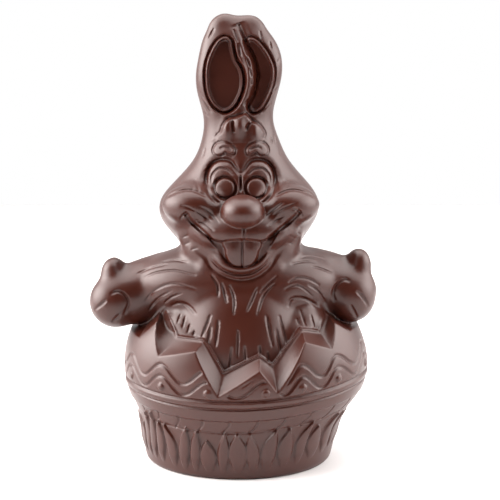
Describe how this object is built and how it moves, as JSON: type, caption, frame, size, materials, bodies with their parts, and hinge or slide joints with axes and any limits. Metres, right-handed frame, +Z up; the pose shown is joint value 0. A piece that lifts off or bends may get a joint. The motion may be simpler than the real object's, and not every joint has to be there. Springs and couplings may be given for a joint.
{
  "type": "moulded chocolate rabbit in an egg",
  "caption": "Moulded dark chocolate rabbit with spread arms, standing in a cracked, decorated egg on a round grassy base.",
  "frame": {"origin": "middle of the box, on the surface that the figure stands on", "axes": "+Z up, -Y the way the rabbit looks, +X to its left paw"},
  "size_m": [0.1274, 0.1028, 0.1995],
  "materials": {
    "dark_chocolate": "glossy moulded surface"
  },
  "bodies": {
    "root": {"chocolate_figure": "dark_chocolate"}
  },
  "joints": []
}
